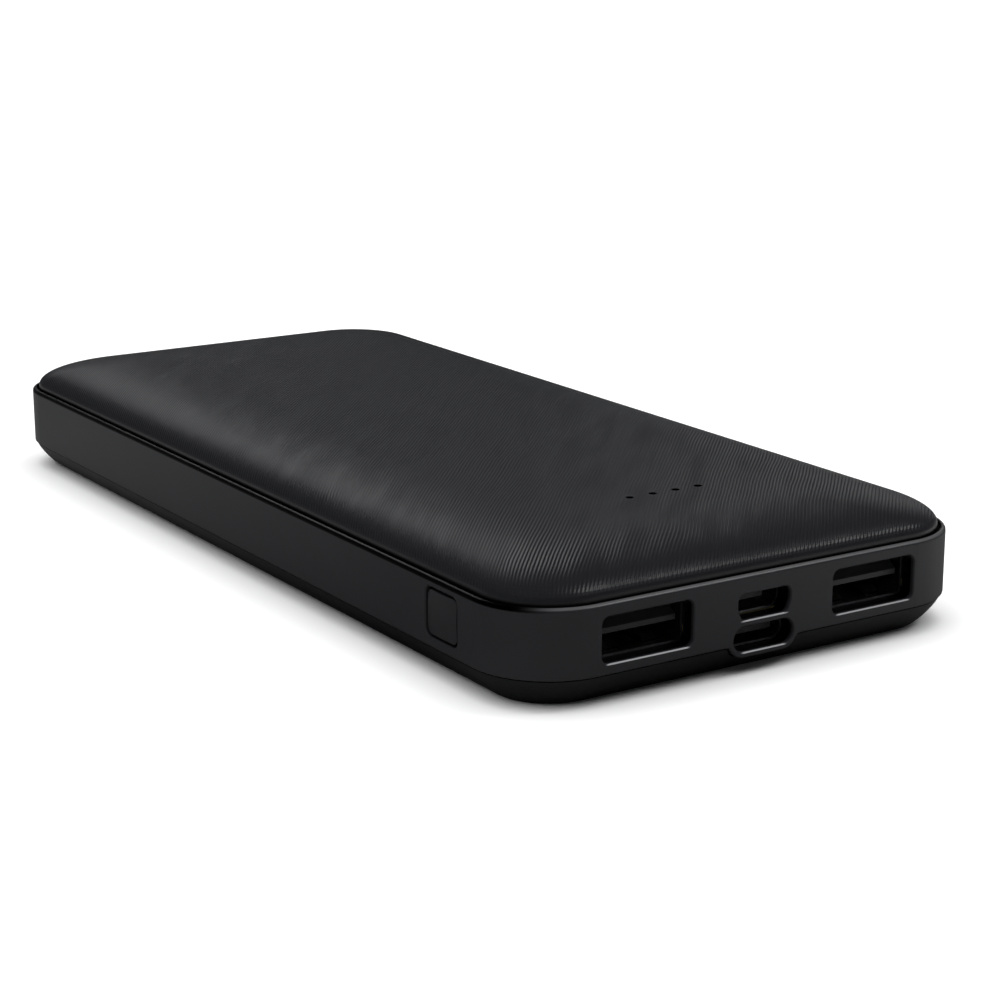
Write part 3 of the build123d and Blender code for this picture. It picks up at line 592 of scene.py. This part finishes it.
acetal = moulded("acetal", (0.66, 0.66, 0.62), (0.74, 0.74, 0.70), 0.35, 0.3, 0.002)
dress(acetal, "switch_plunger")
dress(black_moulding, "switch_housing")
dress(plated_steel, "switch_plate")


# ---------------------------------------------------------------- circuit board
# Glass epoxy with green solder mask over copper tracks; the cut edges show the bare laminate.
# A row of plated holes stitches its two faces together along each long edge.

laminate, wire, (x, y, z) = start_finish("laminate")
cell = {"distance": "CHEBYCHEV", "feature": "F1"}
spread = {"Vector": wire.vector(x / 2.6, y / 2.6, 0.0), "Scale": 1.0}
tracks = wire.node("ShaderNodeTexVoronoi", cell, spread)
copper = tracks.between(0.30, 0.34) * (1.0 - tracks.between(0.40, 0.44))
weave = (x * 9.0).sine() * (y * 9.0).sine()
cut = z.between(6.26, 6.30) * (1.0 - z.between(7.18, 7.22))
mask = wire.mixed((0.006, 0.075, 0.030, 1.0), (0.018, 0.150, 0.055, 1.0), copper)
shade = wire.mixed(mask, (0.42, 0.38, 0.20, 1.0), cut)
values = {"Base Color": shade, "Roughness": 0.28 + 0.4 * cut, "Specular IOR Level": 0.5}
end_finish(laminate, wire, values, 0.03 * copper + 0.002 * weave)
dress(laminate, "circuit_board")

solder = metal("solder", (0.55, 0.55, 0.56), (0.72, 0.72, 0.73), 0.22, 0.3, 0.004)

via_sizes = {
    "Ring Radius": 0.0003,
    "Rim Radius": 0.0001,
    "Pitch": 0.0016,
    "Edge X": 0.0302,
    "First Y": -0.0545,
    "Board Top": 0.00724,
    "Board Bottom": 0.00624,
    "Count": 10,
}
tree, wire, size = start_tree("stitching_holes", via_sizes)
circle = "GeometryNodeCurvePrimitiveCircle"
path = wire.node(circle, {}, {"Resolution": 12, "Radius": size["Ring Radius"]})
section = wire.node(circle, {}, {"Resolution": 6, "Radius": size["Rim Radius"]})
rim = wire.node("GeometryNodeCurveToMesh", {}, {"Curve": path, "Profile Curve": section})
step = wire.vector(0.0, size["Pitch"], 0.0)
flat = (1.0, 1.0, 0.4)
rows = []
for side in (-1.0, 1.0):
    for face in ("Board Top", "Board Bottom"):
        start = wire.vector(size["Edge X"] * side, size["First Y"], size[face])
        rows.append(row_of(wire, rim, size["Count"], start, step, Scale=flat))
end_tree(tree, joined(wire, *rows), solder, 80.0)
grown("stitching_holes", tree, via_sizes, "case", "nickel")


# ---------------------------------------------------------------- board screws
# Four zinc-plated pan-head screws with a cross recess hold the board to the base's posts. The frame
# has their heads and shanks; the rolled thread round each shank is made here.

zinc = metal("zinc", (0.42, 0.42, 0.43), (0.55, 0.55, 0.56), 0.25, 0.15, 0.003)
dress(zinc, "board_screws")
thread_sizes = {
    "Radius": 0.00085,
    "Crest": 0.00014,
    "Turns": 7.0,
    "Height": 0.0036,
    "Top": 0.0062,
    "X": 0.0281,
    "Front Y": -0.066,
    "Rear Y": -0.038,
}
tree, wire, size = start_tree("screw_threads", thread_sizes)
coil = {
    "Resolution": 14,
    "Rotations": size["Turns"],
    "Start Radius": size["Radius"],
    "End Radius": size["Radius"],
    "Height": size["Height"],
}
coil = wire.node("GeometryNodeCurveSpiral", {}, coil)
crest = wire.node(circle, {}, {"Resolution": 4, "Radius": size["Crest"]})
ridge = {"Curve": coil, "Profile Curve": crest, "Fill Caps": True}
thread = wire.node("GeometryNodeCurveToMesh", {}, ridge)
threads = []
for side in (-1.0, 1.0):
    for row in ("Front Y", "Rear Y"):
        foot = wire.vector(size["X"] * side, size[row], size["Top"] - size["Height"])
        moved = {"Geometry": thread, "Translation": foot}
        threads.append(wire.node("GeometryNodeTransform", {}, moved))
end_tree(tree, joined(wire, *threads), zinc, 60.0)
grown("screw_threads", tree, thread_sizes, "case", "screw_steel")


# ---------------------------------------------------------------- parts soldered on the board
# Moulded epoxy chips, a pressed ferrite inductor, ceramic capacitors, resistors and four lights, with
# tinned ends or pads and a fillet of solder at each.

epoxy = moulded("epoxy", (0.014, 0.014, 0.014), (0.022, 0.022, 0.022), 0.5, 0.12, 0.004)
dress(epoxy, "controller_chip", "power_transistors", "chip_resistors")
ferrite = moulded("ferrite", (0.070, 0.070, 0.074), (0.110, 0.110, 0.115), 0.6, 0.16, 0.012)
dress(ferrite, "power_inductor")
ceramic = moulded("ceramic", (0.40, 0.27, 0.15), (0.52, 0.37, 0.22), 0.45, 0.25, 0.003)
dress(ceramic, "ceramic_capacitors")
lamp_body = moulded("lamp_body", (0.72, 0.71, 0.60), (0.82, 0.81, 0.70), 0.3, 0.2, 0.001)
dress(lamp_body, "indicator_leds")

end_sizes = {"Length": 0.0032, "Width": 0.0016, "Height": 0.0015, "Band": 0.0005, "Fillet": 0.0004}
tree, wire, size = start_tree("soldered_ends", end_sizes)
x, y, z = axes_of_points(wire)
proud = 0.00002
band_width, band_height = size["Width"] + 2 * proud, size["Height"] + proud
fillet_height = size["Height"] * 0.6
fillet_middle = size["Length"] / 2.0 + size["Fillet"] / 2.0
ends = []
for side in (-1.0, 1.0):
    band_y = side * (size["Length"] / 2.0 - size["Band"] / 2.0 + proud)
    ends.append(block(wire, band_width, size["Band"], band_height, 0.0, band_y, band_height / 2.0))
    fillet_y = side * fillet_middle
    wedge = block(wire, size["Width"], size["Fillet"], fillet_height, 0.0, fillet_y, fillet_height / 2.0)
    beyond = (y * side).above(fillet_middle)
    sunk = wire.vector(x * (1.0 - 0.1 * beyond), y, z * (1.0 - 0.85 * beyond))
    ends.append(reshaped(wire, wedge, sunk))


def set_on(wire, places, piece):
    """A copy of the piece on each of the places."""
    return wire.node("GeometryNodeInstanceOnPoints", {}, {"Points": places, "Instance": piece})


end_tree(tree, set_on(wire, size["Places"], joined(wire, *ends)), solder, 30.0)


def at(points):
    """Places on the board's upper face, from (x, distance from the front) pairs in millimetres."""
    front_y, board_top = -cover_sizes["Half Length"], via_sizes["Board Top"]
    return [(x / 1000.0, back / 1000.0 + front_y, board_top) for x, back in points]


capacitor_places = at((x, 27.5) for x in (-23.0, -20.0, -17.0, -14.0))
resistor_places = at((x, 27.0) for x in (-10.0, -8.0, -6.0, -4.0, 4.5, 6.5))
grown("capacitor_ends", tree, end_sizes, "case", "screw_steel", points=capacitor_places)
resistor_ends = {"Length": 0.0016, "Width": 0.0008, "Height": 0.0005, "Band": 0.0003, "Fillet": 0.0003}
grown("resistor_ends", tree, resistor_ends, "case", "screw_steel", points=resistor_places)
inductor_ends = {"Length": 0.007, "Width": 0.0030, "Height": 0.0011, "Band": 0.0010, "Fillet": 0.0006}
grown("inductor_ends", tree, inductor_ends, "case", "screw_steel", points=at([(8.5, 33.0)]))
lamp_ends = {"Length": 0.0008, "Width": 0.0016, "Height": 0.0003, "Band": 0.0002, "Fillet": 0.0003}
lamp_places = at((hole_x, half_length + hole_y) for hole_x in hole_xs)
grown("lamp_ends", tree, lamp_ends, "case", "screw_steel", points=lamp_places)

lead_sizes = {
    "Count": 6,
    "Pitch": 0.0008,
    "Body Width": 0.005,
    "Body Length": 0.005,
    "Lead Width": 0.0003,
    "Reach": 0.0005,
    "Lead Height": 0.0004,
}
tree, wire, size = start_tree("chip_leads", lead_sizes)
x, y, z = axes_of_points(wire)
lead_middle = size["Lead Height"] / 2.0
lead = block(wire, size["Lead Width"], size["Reach"], size["Lead Height"], 0.0, 0.0, lead_middle)
toe = y.above(0.0)
lead = reshaped(wire, lead, wire.vector(x, y, z * (1.0 - 0.7 * toe)))
step = wire.vector(size["Pitch"], 0.0, 0.0)
span = size["Pitch"] * (size["Count"] - 1.0)
sides = []
for quarter in range(4):
    body = size["Body Width"] if quarter % 2 else size["Body Length"]
    start = wire.vector(0.0 - span / 2.0, (body + size["Reach"]) / 2.0, 0.0)
    leads = row_of(wire, lead, size["Count"], start, step)
    leads = wire.node("GeometryNodeRealizeInstances", {}, {0: leads})
    turned = {"Geometry": leads, "Rotation": (0.0, 0.0, quarter * math.pi / 2)}
    sides.append(wire.node("GeometryNodeTransform", {}, turned))
end_tree(tree, set_on(wire, size["Places"], joined(wire, *sides)), solder, 30.0)
grown("chip_leads", tree, lead_sizes, "case", "screw_steel", points=at([(-8.0, 32.0)]))
transistor_leads = {
    **lead_sizes,
    "Count": 3,
    "Pitch": 0.0011,
    "Body Length": 0.004,
    "Lead Width": 0.0004,
}
transistor_places = at([(18.0, 26.5), (18.0, 32.0), (-18.0, 32.0)])
grown("transistor_leads", tree, transistor_leads, "case", "screw_steel", points=transistor_places)


# ---------------------------------------------------------------- light guide
# One clear bar of moulded acrylic under the cover, which carries each light up to its pinhole. It
# keeps the frame's shape, and shows faint flow marks.

acrylic, wire, (x, y, z) = start_finish("acrylic")
flow = wire.noise(wire.vector(x / 2.0, y / 2.0, z / 6.0), 2.0)
values = {
    "Base Color": (0.86, 0.90, 0.92, 1.0),
    "Roughness": 0.04 + 0.08 * flow,
    "IOR": 1.49,
    "Transmission Weight": 0.9,
}
end_finish(acrylic, wire, values, 0.002 * flow)
dress(acrylic, "light_guide")


# ---------------------------------------------------------------- pouch cells
# Two lithium pouches: soft aluminium laminate, deep-drawn round the windings, sealed round its rim,
# with a crimped terrace at the front that the tabs come out of and its side seals folded up and taped.

foil, wire, (x, y, z) = start_finish("pouch_foil")
crease = wire.noise(wire.vector(x / 7.0, y / 16.0, z / 3.0), 4.0, 0.6)
dimple = wire.noise(wire.vector(x / 0.5, y / 0.5, z / 0.5), 2.0)
shade = wire.mixed((0.50, 0.51, 0.53, 1.0), (0.66, 0.67, 0.69, 1.0), crease)
values = {"Base Color": shade, "Roughness": 0.30 + 0.18 * dimple, "Metallic": 0.85}
end_finish(foil, wire, values, 0.16 * crease + 0.006 * dimple)

pouch_sizes = {
    "Width": 0.0592,
    "Front": -0.0262,
    "Rear": 0.0693,
    "Middle Z": 0.0047,
    "Height": 0.0057,
    "Seal Width": 0.0540,
    "Seal Front": -0.0292,
    "Seal Height": 0.0004,
    "Crimp Pitch": 0.0009,
    "Crimps": 58,
    "Fold Height": 0.0038,
    "Fold Wall": 0.0003,
}
tree, wire, size = start_tree("pouch_cell", pouch_sizes)
x, y, z = axes_of_points(wire)
ball = {"Size": (2.0, 2.0, 2.0), "Vertices X": 41, "Vertices Y": 61, "Vertices Z": 9}
body = wire.node("GeometryNodeMeshCube", {}, ball)


def shouldered(value, sharpness, softness):
    """1 over most of a width, falling to 0 at both its edges."""
    return (1.0 - value.absolute() ** sharpness).at_least(0.0) ** softness


# the grid is drawn towards its edges, where the drawn pouch is round
warp_x = (x * (math.pi / 2)).sine()
warp_y = (y * (math.pi / 2)).sine()
plump = (shouldered(warp_x, 22.0, 0.5) * shouldered(warp_y, 60.0, 0.5)).at_least(0.05)
middle_y = (size["Front"] + size["Rear"]) / 2.0
half_y = (size["Rear"] - size["Front"]) / 2.0
drawn = wire.vector(
    warp_x * size["Width"] / 2.0,
    middle_y + warp_y * half_y,
    size["Middle Z"] + z * plump * size["Height"] / 2.0,
)
body = reshaped(wire, body, drawn)

tucked_in = 0.0006
seal_length = size["Front"] - size["Seal Front"] + tucked_in
seal_y = size["Seal Front"] + seal_length / 2.0
terrace = (size["Seal Width"], seal_length, size["Seal Height"] * 0.6)
terrace = block(wire, *terrace, 0.0, seal_y, size["Middle Z"])
crimp = block(wire, size["Crimp Pitch"] * 0.55, seal_length * 0.8, size["Seal Height"])
first_x = 0.0 - size["Crimp Pitch"] * (size["Crimps"] - 1.0) / 2.0
start = wire.vector(first_x, seal_y, size["Middle Z"])
step = wire.vector(size["Crimp Pitch"], 0.0, 0.0)
crimps = row_of(wire, crimp, size["Crimps"], start, step)
fold_length = (size["Rear"] - size["Front"]) * 0.97
folds = []
for side in (-1.0, 1.0):
    fold = (size["Fold Wall"], fold_length, size["Fold Height"])
    fold_x = side * (size["Width"] / 2.0 + size["Fold Wall"] / 2.0)
    folds.append(block(wire, *fold, fold_x, middle_y, size["Middle Z"]))
end_tree(tree, joined(wire, body, terrace, crimps, *folds), foil, 50.0)
for name, middle in (("lower", 0.0047), ("upper", 0.0107)):
    here = {**pouch_sizes, "Middle Z": middle}
    grown(f"{name}_pouch", tree, here, "case", "pouch_foil", f"{name}_cell")


# ---------------------------------------------------------------- tabs, straps and welds
# Pure nickel strip. A strap joins the cells' tabs and its foot is welded down on the board, which
# leaves two rows of small raised spots on the foot.

nickel = metal("nickel_strip", (0.50, 0.48, 0.44), (0.64, 0.62, 0.57), 0.26, 0.12, 0.003)
dress(nickel, "positive_tabs", "negative_tabs", "positive_strap", "negative_strap")

weld_sizes = {"Radius": 0.0004, "Bulge": 0.00008, "Pitch": 0.0016, "Count": 4}
tree, wire, size = start_tree("weld_dents", weld_sizes)
dent = {"Segments": 12, "Rings": 6, "Radius": size["Radius"]}
dent = wire.node("GeometryNodeMeshUVSphere", {}, dent)
flat = {"Geometry": dent, "Scale": wire.vector(1.0, 1.0, size["Bulge"] / size["Radius"])}
dent = wire.node("GeometryNodeTransform", {}, flat)
start = wire.vector(0.0 - size["Pitch"] * (size["Count"] - 1.0) / 2.0, 0.0, 0.0)
step = wire.vector(size["Pitch"], 0.0, 0.0)
row = row_of(wire, dent, size["Count"], start, step)
row = wire.node("GeometryNodeRealizeInstances", {}, {0: row})
end_tree(tree, set_on(wire, size["Places"], row), nickel, 80.0)
strap_thickness = 0.0002
foot_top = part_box("circuit_board")[1].z + strap_thickness
weld_places = []
for name in ("positive_strap", "negative_strap"):
    low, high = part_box(name)
    middle = (low.x + high.x) / 2
    weld_places += [(middle, low.y + back, foot_top) for back in (0.0008, 0.0022)]
grown("weld_dents", tree, weld_sizes, "case", "nickel", points=weld_places)


# ---------------------------------------------------------------- tapes and foam pads
# Double-sided tape holds the cells to the base and to each other. Closed-cell foam fills what is left
# above and behind them; squeezed between hard faces, its cut sides bulge.

tape, wire, (x, y, z) = start_finish("tape")
fibre = wire.noise(wire.vector(x / 0.4, y / 3.0, z / 0.4), 4.0)
shade = wire.mixed((0.62, 0.60, 0.52, 1.0), (0.78, 0.76, 0.68, 1.0), fibre)
end_finish(tape, wire, {"Base Color": shade, "Roughness": 0.55 + 0.1 * fibre}, 0.01 * fibre)
dress(tape, "floor_adhesive", "cell_tape")

foam, wire, (x, y, z) = start_finish("foam")
spread = {"Vector": wire.vector(x / 0.35, y / 0.35, z / 0.35), "Scale": 1.0}
cells = wire.node("ShaderNodeTexVoronoi", {}, spread)
shade = wire.mixed((0.012, 0.012, 0.013, 1.0), (0.045, 0.045, 0.047, 1.0), cells)
end_finish(foam, wire, {"Base Color": shade, "Roughness": 0.85 + 0.1 * cells}, 0.06 * cells)

pad_sizes = {
    "Width": 0.03,
    "Length": 0.03,
    "Height": 0.002,
    "X": 0.0,
    "Y": 0.0,
    "Z": 0.0,
    "Bulge": 0.0004,
}
tree, wire, size = start_tree("foam_pad", pad_sizes)
x, y, z = axes_of_points(wire)
pad = {"Size": (2.0, 2.0, 2.0), "Vertices X": 25, "Vertices Y": 41, "Vertices Z": 13}
pad = wire.node("GeometryNodeMeshCube", {}, pad)
waist = (z * z) * (z * z)
crowned = z * (1.0 - 0.04 * (x * x) ** 8.0 - 0.04 * (y * y) ** 8.0)
squeezed = wire.vector(
    size["X"] + x * (size["Width"] / 2.0 - size["Bulge"] * waist),
    size["Y"] + y * (size["Length"] / 2.0 - size["Bulge"] * waist),
    size["Z"] + crowned * size["Height"] / 2.0,
)
pad = reshaped(wire, pad, squeezed)
end_tree(tree, pad, foam, 60.0)
for node in ("top_foam", "rear_foam"):
    low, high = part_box(node)
    middle, extent = (low + high) / 2, high - low
    here = {**pad_sizes, "Width": extent.x, "Length": extent.y, "Height": extent.z}
    here.update({"X": middle.x, "Y": middle.y, "Z": middle.z})
    piece = grown(f"{node}_pad", tree, here, "case", "foam", node)
